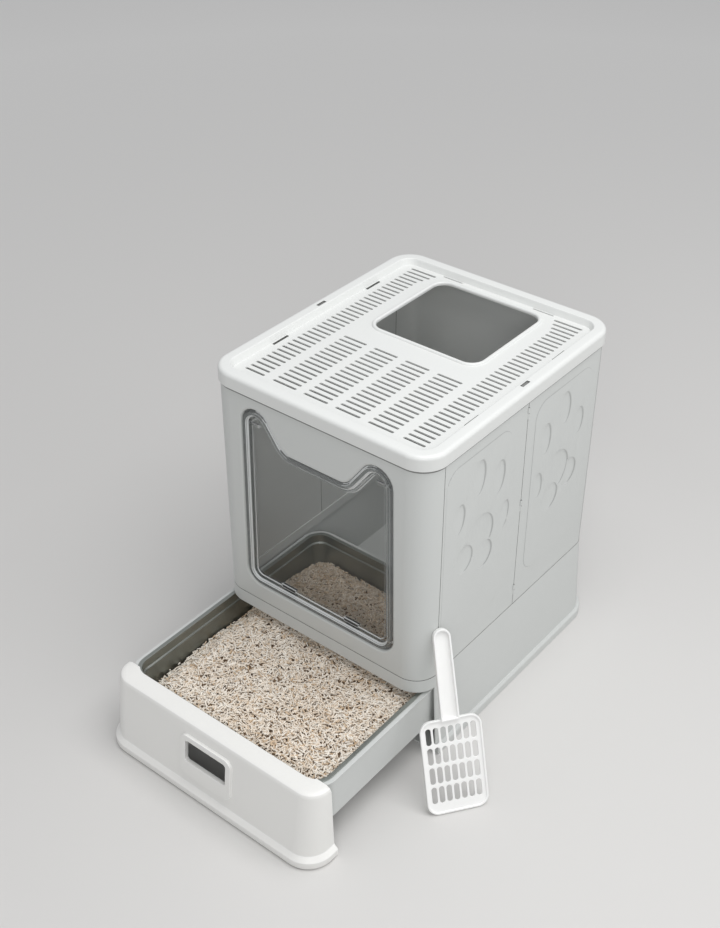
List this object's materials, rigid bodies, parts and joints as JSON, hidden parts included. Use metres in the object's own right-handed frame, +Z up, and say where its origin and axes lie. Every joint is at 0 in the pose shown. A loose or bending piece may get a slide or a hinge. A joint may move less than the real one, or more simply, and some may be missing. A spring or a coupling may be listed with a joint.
{
  "type": "drawer litter box",
  "caption": "Enclosed cat toilet with a pull-out litter drawer, cat-head door flap, folding side walls, louvred lift-off lid with an entry hole, and a slotted scoop.",
  "frame": {"origin": "middle of the underside of the housing, on the floor", "axes": "+X to the right seen from the front, +Y towards the back (the door and drawer face -Y), +Z up"},
  "size_m": [0.4953, 0.6935, 0.52],
  "materials": {
    "housing_plastic": "fine satin light grey moulded plastic",
    "white_plastic": "satin white moulded plastic",
    "clear_plastic": "polished clear moulded plastic",
    "smoked_plastic": "polished, slightly smoked clear sheet",
    "pan_steel": "drawn stainless steel",
    "pin_steel": "plain steel wire and screws",
    "magnet": "black coated bar magnets",
    "litter": "loose pale plant-fibre pellets"
  },
  "bodies": {
    "housing": {"base_housing": "housing_plastic", "front_panel": "housing_plastic", "door_frame": "clear_plastic", "frame_magnets": "magnet", "left_corner_pins": "pin_steel", "right_corner_pins": "pin_steel"},
    "door": {"door_flap": "smoked_plastic", "door_pins": "pin_steel", "flap_magnets": "magnet"},
    "left_front": {"left_front_side": "housing_plastic", "left_fold_pins": "pin_steel"},
    "left_rear": {"left_rear_side": "housing_plastic", "left_back_pins": "pin_steel"},
    "back": {"back_panel": "housing_plastic"},
    "right_front": {"right_front_side": "housing_plastic", "right_fold_pins": "pin_steel"},
    "right_rear": {"right_rear_side": "housing_plastic", "right_back_pins": "pin_steel"},
    "lid": {"lid_shell": "white_plastic"},
    "drawer": {"drawer_frame": "housing_plastic", "drawer_front": "white_plastic", "front_screws": "pin_steel", "litter_pan": "pan_steel", "litter_bed": "litter"},
    "scoop": {"scoop": "white_plastic"}
  },
  "joints": [
    {"name": "drawer_slide", "type": "slide", "parent": "housing", "child": "drawer", "axis": [0, -1, 0], "range_m": [-0.222, 0.04]},
    {"name": "door_swing", "type": "hinge", "parent": "housing", "child": "door", "pos_m": [0, -0.2105, 0.4523], "axis": [-1, 0, 0], "range_deg": [-60, 50]},
    {"name": "lid_lift", "type": "slide", "parent": "housing", "child": "lid", "axis": [0, 0, 1], "range_m": [0, 0.12]},
    {"name": "walls_fold", "type": "hinge", "parent": "housing", "child": "left_front", "pos_m": [-0.1775, -0.1825, 0.3], "axis": [0, 0, -1], "range_deg": [0, 65]},
    {"name": "left_mid_fold", "type": "hinge", "parent": "left_front", "child": "left_rear", "pos_m": [-0.1825, 0.00375, 0.3], "axis": [0, 0, 1], "range_deg": [0, 130]},
    {"name": "left_back_fold", "type": "hinge", "parent": "left_rear", "child": "back", "pos_m": [-0.1775, 0.19, 0.3], "axis": [0, 0, -1], "range_deg": [0, 65]},
    {"name": "right_front_fold", "type": "hinge", "parent": "housing", "child": "right_front", "pos_m": [0.1775, -0.1825, 0.3], "axis": [0, 0, 1], "range_deg": [0, 65]},
    {"name": "right_mid_fold", "type": "hinge", "parent": "right_front", "child": "right_rear", "pos_m": [0.1825, 0.00375, 0.3], "axis": [0, 0, -1], "range_deg": [0, 130]},
    {"name": "scoop_lift", "type": "slide", "parent": "housing", "child": "scoop", "axis": [0, 0, 1], "range_m": [0, 0.15]}
  ],
  "couplings": [
    {"joint": "left_mid_fold", "follows": "walls_fold", "ratio": 2},
    {"joint": "left_back_fold", "follows": "walls_fold", "ratio": 1},
    {"joint": "right_front_fold", "follows": "walls_fold", "ratio": 1},
    {"joint": "right_mid_fold", "follows": "walls_fold", "ratio": 2}
  ]
}
